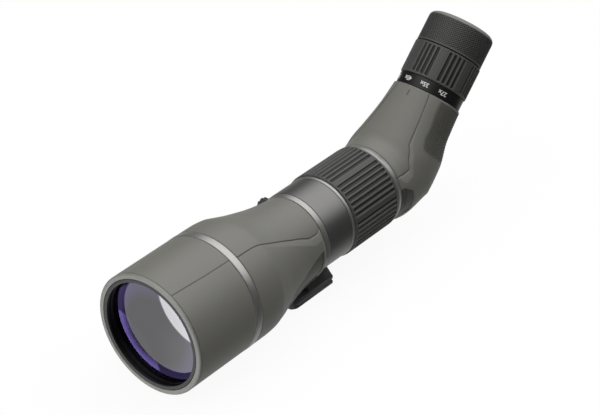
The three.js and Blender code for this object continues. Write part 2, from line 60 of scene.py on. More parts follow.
class Axis:
    """A tube's axis. A place on it is a station, a radius and an angle from the axis's side direction."""

    def __init__(self, origin, along, side=(1, 0, 0)):
        self.origin = np.array(origin, float)
        self.along = np.array(along, float) / np.linalg.norm(along)
        self.side = np.array(side, float)
        self.up = np.cross(self.side, self.along)

    def place(self, station, radius, degrees):
        """Points for arrays of stations, radii and angles, which broadcast together."""
        station, radius, a = np.broadcast_arrays(station, radius, np.radians(degrees))
        return (self.origin + station[..., None] * self.along + (radius * np.cos(a))[..., None] * self.side
                + (radius * np.sin(a))[..., None] * self.up)

    def extent(self, node):
        """First and last station, and inner and outer radius, of a CAD node's corners."""
        co = np.array([v.co for v in NODES[node].data.vertices], float) / MM - self.origin
        station = co @ self.along
        radius = np.linalg.norm(co - np.outer(station, self.along), axis=1)
        return station.min(), station.max(), radius.min(), radius.max()


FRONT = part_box("lens_shade_rim")[0].y / MM
HEIGHT = JOINTS["barrel_turn"]["pos_m"][2] / MM
MAIN = Axis((0, FRONT, HEIGHT), (0, 1, 0))
EYE_AXIS = np.array(JOINTS["zoom_turn"]["axis"])
ZOOM_STATION = 63.64  # station of the zoom joint's point along the eyepiece axis
EYE = Axis(np.array(JOINTS["zoom_turn"]["pos_m"]) / MM - ZOOM_STATION * EYE_AXIS, EYE_AXIS)
KNOB = Axis(np.array(JOINTS["lock_knob_turn"]["pos_m"]) / MM, (-1, 0, 0), side=(0, 1, 0))


# ---- shader helpers

def add(tree, kind, inputs=None, **settings):
    """A shader node with its inputs set to values or linked to sockets."""
    made = tree.nodes.new("ShaderNode" + kind)
    for name, value in settings.items():
        setattr(made, name, value)
    for name, value in (inputs or {}).items():
        if isinstance(value, bpy.types.NodeSocket):
            tree.links.new(value, made.inputs[name])
        else:
            made.inputs[name].default_value = value
    return made


def math_node(tree, operation, *values):
    return add(tree, "Math", dict(enumerate(values)), operation=operation).outputs[0]


def vector_node(tree, operation, *values):
    """Result of a vector node. The second value of a SCALE is a number."""
    slots = (0, 3) if operation == "SCALE" else (0, 1)
    made = add(tree, "VectorMath", dict(zip(slots, values)), operation=operation)
    return made.outputs["Value" if operation in ("LENGTH", "DISTANCE", "DOT_PRODUCT") else "Vector"]


def own_place(tree):
    return add(tree, "TexCoord").outputs["Object"]


def noise(tree, place, scale, detail=2.0):
    return add(tree, "TexNoise", {"Vector": place, "Scale": scale, "Detail": detail}).outputs["Fac"]


def remap(tree, value, start, end, low=0.0, high=1.0, **settings):
    """Maps start to end onto low to high, and holds the ends unless told otherwise."""
    ends = {"Value": value, "From Min": start, "From Max": end, "To Min": low, "To Max": high}
    return add(tree, "MapRange", ends, **settings).outputs["Result"]


def mix_color(tree, share, first, second):
    """Colour between two colours, which are RGB values or sockets."""
    colors = [c if isinstance(c, bpy.types.NodeSocket) else (*c, 1.0) for c in (first, second)]
    return add(tree, "Mix", {0: share, 6: colors[0], 7: colors[1]}, data_type="RGBA").outputs[2]


MOTTLE_SCALE = 45.0  # per metre
# Painted shade: where the hollow attribute is 1 the colour keeps this share. Negative values lighten it as a
# painted highlight.
SHADE_AND_BLACKING_TONE = 0.25  # share of the colour left at the bottom of a hollow


def new_material(name):
    material = bpy.data.materials.new(name)
    material.use_nodes = True
    material.node_tree.nodes.clear()
    return material, material.node_tree


def surface(name, color, roughness, metallic=0.0, grain=(2600, 0.05), mottle=0.06, stretch=(1, 1, 1)):
    """A finish with fine grain in its bump, slow changes in its colour and roughness, and a darkening by the
    hollow attribute: painted shade in grooves and texture, blackened bores, and painted highlights where it is
    negative.
    """
    material, tree = new_material(name)
    place = own_place(tree)
    stretched = add(tree, "Mapping", {"Vector": place, "Scale": stretch}).outputs["Vector"]
    fine = noise(tree, stretched, grain[0], 3.0)
    both = math_node(tree, "ADD", noise(tree, place, MOTTLE_SCALE, 4.0), fine)
    blend = math_node(tree, "MULTIPLY", both, 0.5)
    tone = mix_color(tree, blend, [c * (1 - mottle) for c in color], [c * (1 + mottle) for c in color])
    # Painted shade and painted highlights come in through this attribute, along with the blackening of bores.
    hollow = add(tree, "Attribute", attribute_name="hollow").outputs["Fac"]
    depth = remap(tree, hollow, 0.0, 1.0, 1.0, SHADE_AND_BLACKING_TONE, clamp=False)
    bump = add(tree, "Bump", {"Height": fine, "Strength": grain[1], "Distance": 0.0004})
    shader = add(tree, "BsdfPrincipled", {
        "Base Color": vector_node(tree, "SCALE", tone, depth), "Metallic": metallic,
        "Roughness": remap(tree, blend, 0.0, 1.0, roughness * 0.88, roughness * 1.12),
        "Normal": bump.outputs["Normal"]})
    add(tree, "OutputMaterial", {"Surface": shader.outputs[0]})
    return material


MIRROR_BEND = 5.4  # turn of the lens front's inner reflection, per metre from the axis
VIOLET_CENTRE = (-0.003, 0, -0.005)  # middle of that reflection, off the axis, in metres
VIOLET_RADIUS = 0.041


def violet_reflection(tree, polish):
    """Painted reflection standing in for the coated surfaces inside: a glossy lobe whose normal is bent as a
    hollow mirror round the tube's axis. It fills a disc, and is black outside it.
    """
    aside = vector_node(tree, "SUBTRACT", own_place(tree), (0, 0, HEIGHT * MM))
    bent = vector_node(tree, "MULTIPLY", aside, (-MIRROR_BEND, 0, -MIRROR_BEND))
    normal = vector_node(tree, "ADD", bent, (0, -1, 0))
    turned = add(tree, "VectorTransform", {0: normal}, vector_type="NORMAL", convert_from="OBJECT",
                 convert_to="WORLD").outputs[0]
    outer = remap(tree, vector_node(tree, "LENGTH", bent), 0.14, 0.19)
    tint = mix_color(tree, outer, (0.003, 0.0025, 0.004), (0.042, 0.03, 0.1))
    away = vector_node(tree, "DISTANCE", vector_node(tree, "MULTIPLY", aside, (1, 0, 1)), VIOLET_CENTRE)
    outside = remap(tree, away, VIOLET_RADIUS - 0.0005, VIOLET_RADIUS + 0.0005)
    return add(tree, "BsdfGlossy", {"Color": mix_color(tree, outside, tint, (0, 0, 0)), "Roughness": polish,
                                    "Normal": vector_node(tree, "NORMALIZE", turned)})


def front_glass():
    """Lens front: dark glass behind a weak neutral reflection and a painted violet one."""
    material, tree = new_material("coated_glass_front")
    polish = remap(tree, noise(tree, own_place(tree), 900.0), 0.0, 1.0, 0.0, 0.02)
    clear = add(tree, "BsdfTransparent", {"Color": (0.12, 0.12, 0.14, 1)})
    sheen = add(tree, "BsdfGlossy", {"Color": (0.21, 0.21, 0.215, 1), "Roughness": polish})
    front = add(tree, "AddShader", {0: clear.outputs[0], 1: sheen.outputs[0]})
    both = add(tree, "AddShader", {0: front.outputs[0], 1: violet_reflection(tree, polish).outputs[0]})
    add(tree, "OutputMaterial", {"Surface": both.outputs[0]})
    return material


def coated_glass():
    """Inner lenses: dark glass whose coating reflects violet."""
    material, tree = new_material("coated_glass")
    facing = add(tree, "LayerWeight", {"Blend": 0.3}).outputs["Facing"]
    tint = mix_color(tree, facing, (0.22, 0.13, 0.75), (0.5, 0.42, 0.7))
    polish = remap(tree, noise(tree, own_place(tree), 700.0), 0.0, 1.0, 0.01, 0.05)
    sheen = add(tree, "BsdfGlossy", {"Color": tint, "Roughness": polish})
    depth = add(tree, "BsdfDiffuse", {"Color": (0.002, 0.0015, 0.006, 1)})
    both = add(tree, "MixShader", {0: 0.3, 1: depth.outputs[0], 2: sheen.outputs[0]})
    add(tree, "OutputMaterial", {"Surface": both.outputs[0]})
    return material


FINISH = {
    "armour": surface("armour", (0.205, 0.203, 0.182), 0.43, grain=(3200, 0.06)),
    "collar_metal": surface("collar_metal", (0.19, 0.188, 0.185), 0.34, 0.75, (2400, 0.03), 0.06, (1, 3, 1)),
    "bright_ring": surface("bright_ring", (0.42, 0.415, 0.405), 0.34, 0.75, (500, 0.05), 0.06, (1, 12, 1)),
    "rim_metal": surface("rim_metal", (0.30, 0.30, 0.285), 0.40, 0.2, (2600, 0.05)),
    "black_metal": surface("black_metal", (0.055, 0.055, 0.056), 0.42, 0.3, (2600, 0.05)),
    "foot_black": surface("foot_black", (0.056, 0.056, 0.057), 0.42, 0.2, (3000, 0.08)),
    "knob_plastic": surface("knob_plastic", (0.03, 0.03, 0.032), 0.45, 0.0, (2200, 0.12)),
    "black_plastic": surface("black_plastic", (0.02, 0.02, 0.02), 0.5, 0.0, (2200, 0.10)),
    "scale_black": surface("scale_black", (0.014, 0.014, 0.015), 0.36, 0.2, (2800, 0.05)),
    "grip_rubber": surface("grip_rubber", (0.07, 0.07, 0.067), 0.50, 0.0, (2600, 0.14)),
    "eyecup_rubber": surface("eyecup_rubber", (0.085, 0.085, 0.082), 0.50, 0.0, (2600, 0.14)),
    "seal_rubber": surface("seal_rubber", (0.012, 0.012, 0.012), 0.6, 0.0, (1800, 0.08)),
    "felt": surface("felt", (0.02, 0.02, 0.02), 0.95, 0.0, (6000, 0.6), mottle=0.3),
    "coated_glass": coated_glass(),
    "steel": surface("steel", (0.5, 0.5, 0.5), 0.32, 1.0, (900, 0.06), stretch=(1, 1, 6)),
    "brass": surface("brass", (0.6, 0.45, 0.2), 0.3, 1.0, (900, 0.06), stretch=(6, 1, 1)),
}


# ---- mesh helpers

def make(name, points, faces, stands_for, material=None, flip=False, hollow=None):
    """A piece that rides and is finished as the CAD nodes that it stands for. hollow says for each point how
    far down it lies in a groove or texture, where painted shade darkens the colour, and in bores how dark their
    blackening is. It is negative on edges with a painted highlight."""
    mesh = bpy.data.meshes.new(name)
    mesh.from_pydata((np.asarray(points) * MM).tolist(), [], [f[::-1] for f in faces] if flip else faces)
    mesh.shade_smooth()
    if hollow is not None:
        values = mesh.attributes.new("hollow", "FLOAT", "POINT").data
        values.foreach_set("value", np.asarray(hollow, float).ravel())
    made = bpy.data.objects.new(name, mesh)
    bpy.context.scene.collection.objects.link(made)
    settle(made, stands_for, material)
    return made


def settle(made, stands_for, material=None):
    """Finishes a piece and puts it in place of CAD nodes, on their body."""
    slot = SLOT_OF[stands_for[0]]
    made.data.materials.clear()
    made.data.materials.append(material or FINISH[slot])
    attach(made, BODY_OF[stands_for[0]])
    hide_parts(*stands_for)


def outward(faces, points):
    """The faces, turned over if the closed mesh they make is inside out."""
    p = np.asarray(points)
    fans = [(f[0], f[i], f[i + 1]) for f in faces for i in range(1, len(f) - 1)]
    volume = sum(np.dot(p[i], np.cross(p[j], p[k])) for i, j, k in fans)
    return faces if volume > 0 else [f[::-1] for f in faces]


def loop_faces(rows, columns):
    """Faces of a grid that closes on itself both ways, as a ring does."""
    i, j = np.meshgrid(np.arange(rows), np.arange(columns), indexing="ij")
    k, m = (i + 1) % rows, (j + 1) % columns
    quads = np.stack([i * columns + j, i * columns + m, k * columns + m, k * columns + j], -1)
    return quads.reshape(-1, 4).tolist()


def tube(name, grid, stands_for, material=None, hollow=None):
    """A closed ring from a grid of points: rows go round its section, columns round its axis."""
    rows, columns = grid.shape[:2]
    points = grid.reshape(-1, 3)
    faces = loop_faces(rows, columns)
    corners = points[np.array(faces)] - points.mean(0)
    fan = np.cross(corners[:, 1], corners[:, 2]) + np.cross(corners[:, 2], corners[:, 3])
    volume = np.einsum("ij,ij->", corners[:, 0], fan)
    return make(name, points, faces, stands_for, material, volume < 0, hollow)


def solid(name, grid, stands_for, material=None):
    """A closed body from a grid whose first and last rows each shrink to one point on the axis."""
    rows, columns = grid.shape[:2]
    points = np.vstack([grid[0, :1], grid[1:-1].reshape(-1, 3), grid[-1, :1]])
    last = len(points) - 1
    faces = []
    for j in range(columns):
        k = (j + 1) % columns
        faces.append([0, 1 + j, 1 + k])
        for i in range(rows - 3):
            a, b = 1 + i * columns, 1 + (i + 1) * columns
            faces.append([a + j, b + j, b + k, a + k])
        a = 1 + (rows - 3) * columns
        faces.append([a + j, last, a + k])
    return make(name, points, outward(faces, points - points.mean(0)), stands_for, material)


def rounded(outline, radius, closed=True, steps=4, hold=0.12):
    """An outline with each corner rounded. Points just outside each round keep the flats flat."""
    points = [np.array(p, float) for p in outline]
    made = []
    for i, corner in enumerate(points):
        if not closed and i in (0, len(points) - 1):
            made.append(corner)
            continue
        before, after = points[i - 1] - corner, points[(i + 1) % len(points)] - corner
        size = min(radius, 0.4 * np.linalg.norm(before), 0.4 * np.linalg.norm(after))
        before, after = before / np.linalg.norm(before), after / np.linalg.norm(after)
        made.append(corner + before * (size + hold * radius))
        for t in np.linspace(0, 1, steps + 1):
            made.append(corner + before * size * (1 - t) ** 2 + after * size * t ** 2)
        made.append(corner + after * (size + hold * radius))
    return np.array(made)


TURNS = 180  # points round a smooth ring
ALL_ROUND = np.arange(TURNS) * 360 / TURNS


def revolve(name, axis, outline, nodes, edge=0.4, dark_from=0, dark_within=0):
    """A ring turned from an outline of (station, radius) points that stays off the axis. Its finish is darker
    past a station and within a radius."""
    profile = rounded(outline, edge)
    hollow = np.repeat(1.25 * ((profile[:, 0] > dark_from) & (profile[:, 1] < dark_within)), TURNS)
    return tube(name, axis.place(profile[:, :1], profile[:, 1:], ALL_ROUND[None]), nodes, hollow=hollow)


def plain_ring(node, axis, edge=0.4, dark_within=0):
    """A smooth ring with the same ends and radii as a CAD ring."""
    start, end, inner, outer = axis.extent(node)
    outline = [(start, inner), (start, outer), (end, outer), (end, inner)]
    revolve(node + "_fine", axis, outline, [node], edge, dark_within=dark_within)


def smooth_curve(table):
    """A monotone cubic through (place, value) points, as a function of arrays."""
    x, y = np.array(table, float).T
    gaps, rises = np.diff(x), np.diff(y) / np.diff(x)
    slopes = np.concatenate([[rises[0]], np.zeros(len(x) - 2), [rises[-1]]])
    for i in range(1, len(x) - 1):
        if rises[i - 1] * rises[i] > 0:
            w = (2 * gaps[i] + gaps[i - 1], gaps[i] + 2 * gaps[i - 1])
            slopes[i] = (w[0] + w[1]) / (w[0] / rises[i - 1] + w[1] / rises[i])

    def value(at):
        at = np.clip(np.asarray(at, float), x[0], x[-1])
        i = np.clip(np.searchsorted(x, at) - 1, 0, len(gaps) - 1)
        t = (at - x[i]) / gaps[i]
        return (y[i] * (1 + 2 * t) * (1 - t) ** 2 + y[i + 1] * t * t * (3 - 2 * t)
                + gaps[i] * t * (1 - t) * (slopes[i] * (1 - t) - slopes[i + 1] * t))

    return value


def smoothstep(value, low, high):
    t = np.clip((value - low) / (high - low), 0, 1)
    return t * t * (3 - 2 * t)


def ramp(value, low, high):
    return np.clip((value - low) / (high - low), 0, 1)


def knurl(a, b):
    """Height 0 to 1 of a diamond knurl, where a and b count the diamonds both ways."""
    ridge = lambda x: np.abs(2 * (x - np.floor(x)) - 1)
    return np.minimum(ridge(a + b), ridge(a - b))


def stretches(*parts):
    """Joins runs of places: each part is (start, end, count), and each run leaves out its end."""
    runs = [np.linspace(start, end, count, endpoint=False) for start, end, count in parts]
    return np.concatenate(runs + [[parts[-1][1]]])


def columns(keys, counts):
    """Angles for each row, from the top of a tube down its +X side, with counts between the key angles."""
    rows = max(np.size(key) for key in keys)
    keys = np.stack([np.broadcast_to(np.asarray(key, float).reshape(-1), rows) for key in keys], 1)
    keys = np.minimum.accumulate(keys - 0.01 * np.arange(keys.shape[1]), axis=1)
    parts = [a[:, None] + (b - a)[:, None] * np.arange(n) / n
             for a, b, n in zip(keys.T[:-1], keys.T[1:], counts)]
    return np.concatenate(parts + [keys[:, -1:]], axis=1)


def both_sides(half):
    """The columns of the +X side, followed by their mirror images back up to the top."""
    return np.concatenate([half, half[:, -2:0:-1]], axis=1)


def skin(name, axis, profile, angles, height, nodes, inside=0):
    """A ring whose outside is shaped by height(station, angle), which gives its height and its painted shade.
    Profile rows are station, radius, share of height. inside is how dark the bore's blackening is."""
    station, radius, share = (column[:, None] for column in np.array(profile).T)
    rise, hollow = height(station, angles)
    turned = np.concatenate([angles, 180 - angles[:, -2:0:-1]], axis=1)
    grid = axis.place(station, both_sides(radius + share * rise), turned)
    hollow = both_sides(share * hollow)
    hollow[[0, -1]] = inside
    return tube(name, grid, nodes, hollow=hollow)


def dent(distance, width=0.4):
    """1 in the middle of a groove, falling to 0 at its sides."""
    return np.exp(-(distance / width) ** 2)


# ---- barrel skins

# Along the barrel, by station: angles of the parting lines, the ledge's and facet's edges, and heights.
SHADE_CREASE = smooth_curve([(1.7, 63.3), (20.7, 62.3), (41, 61.2), (60, 60.7)])
CREASE = smooth_curve([(68, 59), (82, 58.7), (89, 58), (104, 53.7), (115, 49.7), (125, 45), (136, 39.4),
                       (147.5, 32.5), (154, 31.8), (157, 33), (160.5, 38)])
LEDGE_EDGE = smooth_curve([(68, 57.5), (89, 56.6), (101, 50.9), (111, 45.7), (122, 39.9), (132, 33),
                           (143, 25.1), (150, 20.6), (156.5, 20.6), (158.5, 24), (160.5, 30)])
LEDGE_RISE = smooth_curve([(88, 0), (110, 0.5), (130, 1.0), (148, 1.4), (157, 1.4), (160, 0.2)])
FULLNESS = smooth_curve([(88, 0), (105, 1.2), (125, 1.9), (140, 1.8), (158, 2.4), (160.5, 2.5)])
ARMOUR_RADIUS = smooth_curve([(68, 49), (80, 49), (85, 48.9), (92, 48.1), (100, 45.7), (110, 42.6),
                              (120, 40), (130, 37.6), (140, 35.7), (150, 34.3), (160.5, 33.2)])
FACET_EDGE = smooth_curve([(104, -22), (107, -17), (111, -12.4), (116, -8), (121, -6), (128, -4.5),
                           (135, -1), (142.7, 3), (150, 6.2), (154, 7.5), (160.5, 7.4)])
FACET_LOW = -41  # angle of the facet's lower edge
FACET_START = 104
FACET_END = 157
FACET_DEPTH = 1.1
DIAMOND = 1.9  # size of the facet's diamonds
SKIN = 2.2  # thickness of the armour


def shade_height(station, angle):
    """Parting line on the lens shade: a shallow groove, with painted shade in it."""
    crease = dent((angle - SHADE_CREASE(station)) * math.radians(49))
    return -0.4 * crease, 0.4 * crease


def round_end(station, radius, size, forward, steps=5):
    """Places along a rounded outer edge, from its end face (no relief) to the side (all of it)."""
    turn = np.linspace(0, math.pi / 2, steps)
    sign = 1 if forward else -1
    rows = [(station + sign * size * (1 - math.sin(a)), radius - size * (1 - math.cos(a)), math.cos(a))
            for a in turn[::-1]]
    return rows if forward else rows[::-1]


def lens_shade():
    start, end, inner, outer = MAIN.extent("lens_shade")
    side = [(s, outer, 1.0) for s in np.linspace(start + 2, end - 2, 9)]
    profile = [(start, inner, 0.0)] + round_end(start, outer, 0.7, True) + side
    profile += round_end(end, outer, 0.7, False) + [(end, inner, 0.0)]
    crease = SHADE_CREASE(np.array(profile)[:, 0])
    keys = [90, crease + 1.6, crease + 0.6, crease, crease - 0.6, crease - 1.6, -90]
    angles = columns(keys, [28, 3, 3, 3, 3, 130])
    skin("lens_shade_skin", MAIN, profile, angles, shade_height, ["lens_shade"], inside=1.15)


def armour_height(station, angle):
    """Sunk upper panel, ledge below its crease, fuller lower side and the textured facet near the mount. The
    second value is painted shade, in the crease line and over the facet, darkest in its knurl valleys.
    """
    mm = np.radians(ARMOUR_RADIUS(station))
    crease, edge = CREASE(station), LEDGE_EDGE(station)
    rise, full = LEDGE_RISE(station), FULLNESS(station)
    ledge = rise * ramp(angle, crease, edge)
    lower = (full - rise) * smoothstep(angle, edge, FACET_LOW)
    facet = smoothstep((FACET_EDGE(station) - angle) * mm, 0, 2.2)
    facet = facet * smoothstep((angle - FACET_LOW) * mm, 0, 0.7)
    facet = facet * smoothstep(station, FACET_START, FACET_START + 6)
    facet = facet * (1 - smoothstep(station, FACET_END, FACET_END + 0.9))
    texture = knurl(station / DIAMOND, angle * mm / DIAMOND)
    lip = 0.3 * dent((angle - FACET_LOW) * mm, 0.7) * smoothstep(station, FACET_START, FACET_START + 8)
    line, textured = dent((angle - crease) * mm), ramp(facet, 0.7, 1)
    height = ledge + lower - 0.35 * line - FACET_DEPTH * facet + 0.25 * texture * textured + lip
    return height, np.maximum(line, textured * (1 - 0.7 * texture))


def body_armour():
    start, end = MAIN.extent("body_armour")[:2]
    side = [(s, float(ARMOUR_RADIUS(s)), 1.0)
            for s in stretches((start + 1.2, FACET_START, 44), (FACET_START, end - 1.2, 150))]
    inside = [(s, float(ARMOUR_RADIUS(s)) - SKIN, 0.0) for s in np.linspace(end, start, 24)]
    profile = round_end(start, float(ARMOUR_RADIUS(start)), 0.9, True) + side
    profile += round_end(end, float(ARMOUR_RADIUS(end)), 0.9, False) + inside
    station = np.array(profile)[:, 0]
    crease, edge, facet = CREASE(station), LEDGE_EDGE(station), FACET_EDGE(station)
    keys = [90, crease + 1.6, crease + 0.5, crease, crease - 0.5, edge + 0.4, edge, edge - 0.4, facet + 3,
            facet - 4, FACET_LOW + 1.5, FACET_LOW, FACET_LOW - 1.5, -90]
    angles = columns(keys, [30, 3, 3, 3, 8, 2, 2, 18, 12, 56, 4, 4, 26])
    skin("body_armour_skin", MAIN, profile, angles, armour_height, ["body_armour"])


def front_rim():
    start, end, inner, outer = MAIN.extent("lens_shade_rim")
    outline = [(start + 0.2, inner), (start, outer - 1.2), (start + 0.9, outer), (end, outer), (end, inner)]
    revolve("lens_shade_rim_fine", MAIN, outline, ["lens_shade_rim"], 0.5)


# Drop of the front edge, stations of full radius (below 0 from the rear), drop of the rear edge, rounding.
BRIGHT_RINGS = {
    "accent_ring_front": (0.2, (1, -1), 0.2, 0.5),
    "accent_ring_body": (1, (-0.6,), 0.2, 0.3),
    "collar_retaining_ring": (0.4, (1.2,), 0.3, 0.3),
    "accent_ring_prism": (0.6, (1.2,), 0.9, 0.3),
}


def bright_rings():
    for node, (front, tops, rear, edge) in BRIGHT_RINGS.items():
        start, end, inner, outer = MAIN.extent(node)
        crest = [(top + (start if top > 0 else end), outer) for top in tops]
        outline = [(start, inner), (start, outer - front), *crest, (end, outer - rear), (end, inner)]
        revolve(node + "_fine", MAIN, outline, [node], edge)


# ---- ribbed grips

def groove_angles(rib_centres, rib_width, pitch):
    """Groove angles that fill the arcs between wide flat ribs. Widths are in degrees."""
    made = []
    for here, after in zip(rib_centres, rib_centres[1:] + [rib_centres[0] + 360]):
        room = after - here - rib_width
        count = round(room / pitch) + 1
        made += list(here + rib_width / 2 + room * np.arange(count) / (count - 1))
    return made


GROOVE_WIDTH = 3.2
GROOVE_DEPTH = 1.3
GRIP_COLUMNS = 720


def grip(name, axis, node, centres, taper):
    """A rubber sleeve with straight round-ended grooves between two smooth rims. The taper widens the
    grooves from end to end."""
    start, end, inner, outer = axis.extent(node)
    middle = stretches((start + 1.3, start + 6, 14), (start + 6, end - 6, 10), (end - 6, end - 1.3, 14))
    profile = [(start, inner, 0)] + round_end(start, outer, 1.0, True) + [(s, outer, 1) for s in middle]
    profile = np.array(profile + round_end(end, outer, 1.0, False) + [(end, inner, 0)])
    station, radius = profile[:, :1], profile[:, 1:2]
    degrees = np.arange(GRIP_COLUMNS)[None] * 360 / GRIP_COLUMNS
    past = np.maximum(0, np.maximum(start + 2.4 - station, station - end + 2.4))
    half = GROOVE_WIDTH / 2 * (1 + taper * (station - (start + end) / 2) / (end - start))
    cut, painted_edge_highlight = np.zeros((2, len(profile), GRIP_COLUMNS))
    for centre in centres:
        across = (degrees - centre + 180) % 360 - 180
        away = np.hypot(across * math.radians(outer), past * 1.3)
        cut = np.maximum(cut, 1 - smoothstep(away, 0.45 * half, half))
        painted_edge_highlight = np.maximum(painted_edge_highlight, dent(away - 1.15 * half, 0.3))
    cut = cut * profile[:, 2:]
    grid = axis.place(station, radius - GROOVE_DEPTH * cut, degrees)
    # Painted shade in the grooves, and a painted highlight along their shoulders.
    tube(name, grid, [node], hollow=1.1 * cut - 0.7 * painted_edge_highlight)


def focus_grip():
    centres = groove_angles([16, 71.3, 133.7, 196, 258.4, 320.7], 12.3, 7.17)
    grip("focus_grip_ribbed", MAIN, "focus_grip", centres, 0.0)


def zoom_grip():
    centres = groove_angles([19, 67, 115, 167.8, 220.6, 273.4, 326.2], 22, 8.7)
    grip("zoom_grip_ribbed", EYE, "zoom_grip", centres, -0.25)


KNURL_ROUND = 76  # diamonds round the eyecup
KNURL_PITCH = 2.2
KNURL_STEPS = 6  # points along one diamond
KNURL_DEPTH = 0.6
CROWN_RADIUS = 5.4


def eyecup():
    """Rubber cup: knurled side, smooth rounded crown and an inner lip round the eye lens."""
    start, end, bore, outer = EYE.extent("eyecup_grip")
    sleeve = EYE.extent("eyecup_sleeve")[3] + 0.3
    crown = end - CROWN_RADIUS
    travel = np.concatenate([np.arange(start + 1.2, crown + 4.6, KNURL_PITCH / KNURL_STEPS),
                             np.linspace(crown + 5, crown + CROWN_RADIUS * math.pi / 2, 8)])
    turn = np.maximum(0, travel - crown) / CROWN_RADIUS
    side = np.stack([np.minimum(travel, crown) + CROWN_RADIUS * np.sin(turn),
                     outer - CROWN_RADIUS * (1 - np.cos(turn))], 1)
    inside = rounded([(end, outer - CROWN_RADIUS), (end, bore + 1.5), (end - 1.6, bore), (end - 4.6, bore),
                      (end - 4.6, sleeve), (start, sleeve)], 0.8, closed=False)[1:]
    foot = [(s, r) for s, r, _ in round_end(start, outer, 0.5, True)]
    rows = np.array(foot + side.tolist() + inside.tolist())
    along = np.concatenate([np.full(len(foot), start), travel, np.full(len(inside), end + 9)])[:, None]
    degrees = np.arange(KNURL_ROUND * KNURL_STEPS) * 360 / (KNURL_ROUND * KNURL_STEPS)
    diamonds = knurl((along - start) / KNURL_PITCH, degrees[None] * KNURL_ROUND / 360)
    knurled = smoothstep(along, start + 1, start + 1.6) * (1 - smoothstep(along, crown + 1.4, crown + 2.4))
    # Painted shade in the knurl's valleys; painted highlights on its diamond tops and in a band on the crown.
    hollow = (1 - diamonds) * knurled
    painted_crown_highlight = smoothstep(along, crown + 1.6, crown + 3) * (1 - smoothstep(along, crown + 6, crown + 9))
    painted_highlight = 1.1 * diamonds * knurled + 2.2 * painted_crown_highlight
    grid = EYE.place(rows[:, :1], rows[:, 1:] - KNURL_DEPTH * hollow, degrees[None])
    tube("eyecup_knurled", grid, ["eyecup_grip"], hollow=1.5 * hollow - painted_highlight)


# ---- scale band and its numbers

NUMBER_ANGLES = {"27x": 39.5, "35x": 73, "45x": 107, "55x": 141}
NUMBER_SIZE = 5.0


def scale_band():
    start, end, _, outer = EYE.extent("zoom_scale_band")
    plain_ring("zoom_scale_band", EYE, 0.45)
    paint = surface("dial_paint", (0.78, 0.78, 0.76), 0.5, grain=(2600, 0.08), mottle=0.03)
    for words, angle in NUMBER_ANGLES.items():
        dial_number(words, angle, (start + end) / 2, outer, paint)


def dial_number(words, angle, station, radius, paint):
    """Raised painted figures wrapped round the band, read from behind the eyepiece."""
    curve = bpy.data.curves.new("dial_" + words, "FONT")
    curve.body = words
    curve.size = NUMBER_SIZE
    curve.extrude = 0.06
    curve.offset = 0.12
    curve.align_x, curve.align_y = "CENTER", "CENTER"
    flat = bpy.data.objects.new("dial_" + words, curve)
    bpy.context.scene.collection.objects.link(flat)
    bpy.context.view_layer.update()
    mesh = bpy.data.meshes.new_from_object(flat.evaluated_get(bpy.context.evaluated_depsgraph_get()))
    bpy.data.objects.remove(flat)
    merged = bmesh.new()
    merged.from_mesh(mesh)
    bmesh.ops.remove_doubles(merged, verts=merged.verts, dist=0.001)
    bmesh.ops.triangulate(merged, faces=merged.faces)
    merged.to_mesh(mesh)
    merged.free()
    flat_points = np.array([v.co for v in mesh.vertices], float)
    turned = angle + np.degrees(flat_points[:, 0] / radius)
    points = EYE.place(station - flat_points[:, 1], radius + 0.03 + flat_points[:, 2], turned)
    mesh.vertices.foreach_set("co", (points * MM).ravel())
    mesh.shade_flat()
    figures = bpy.data.objects.new("dial_number_" + words, mesh)
    bpy.context.scene.collection.objects.link(figures)
    mesh.materials.clear()
    mesh.materials.append(paint)
    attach(figures, BODY_OF["zoom_scale_band"])


# ---- prism housing

HOUSING_START = MAIN.extent("prism_armour")[0]
EYE_TOP = EYE.extent("zoom_scale_band")[0] - 0.3
TILT = math.atan2(EYE_AXIS[2], EYE_AXIS[1])
BEND_STATION = EYE.origin[1] - FRONT - (EYE.origin[2] - HEIGHT) / math.tan(TILT)
PIVOT_DISTANCE = 45  # from the crossing of the axes, along the bend's middle plane
PIVOT = np.array([BEND_STATION - PIVOT_DISTANCE * math.sin(TILT / 2), PIVOT_DISTANCE * math.cos(TILT / 2)])
SHARE = (0, 0.16, 0.32, 0.49, 0.74, 1)  # places along the elbow where its section is given
# Along the elbow, by share of the way: sizes of its section, and angles and heights of its relief.
HALF_WIDTH = smooth_curve(list(zip(SHARE, (34.2, 34.9, 35.3, 34.4, 29.9, 29))))
BELOW = smooth_curve(list(zip(SHARE, (34.2, 36.9, 30.2, 29.9, 29.4, 29))))
ABOVE = smooth_curve(list(zip(SHARE, (34.2, 36.9, 39.3, 37.6, 33.4, 29))))
POWER = smooth_curve(list(zip(SHARE, (2, 2.2, 2.34, 2.3, 2.15, 2))))
HOUSING_CREASE = smooth_curve([(0, 31), (0.035, 31), (0.08, 29.5), (0.14, 29.5), (0.215, 38), (0.41, 47),
                               (0.54, 51.5), (0.745, 52.5), (0.88, 55), (1, 58.5)])
HOUSING_EDGE = smooth_curve([(0, 30.5), (0.025, 29), (0.045, 22), (0.09, 18), (0.15, 20), (0.245, 32),
                             (0.44, 42), (0.56, 48.5), (1, 56)])
HOUSING_RISE = smooth_curve([(0, 0), (0.03, 0.4), (0.08, 1.8), (0.25, 1.8), (0.42, 1.3), (0.6, 0.7),
                             (0.9, 0.3), (1, 0)])
PATCH_EDGE = smooth_curve([(0.49, 16), (0.525, 30), (0.56, 33.5), (0.63, 35), (0.705, 33.5), (0.8, 35),
                           (0.86, 37), (0.98, 38)])
PATCH_SHARES = (0.5, 0.975)
HOLLOW_END = smooth_curve([(-60, 0.05), (-39, 0.09), (-31, 0.12), (-25, 0.165), (-12, 0.18), (2, 0.165),
                           (8, 0.11), (13, 0.055), (15, 0.01)])
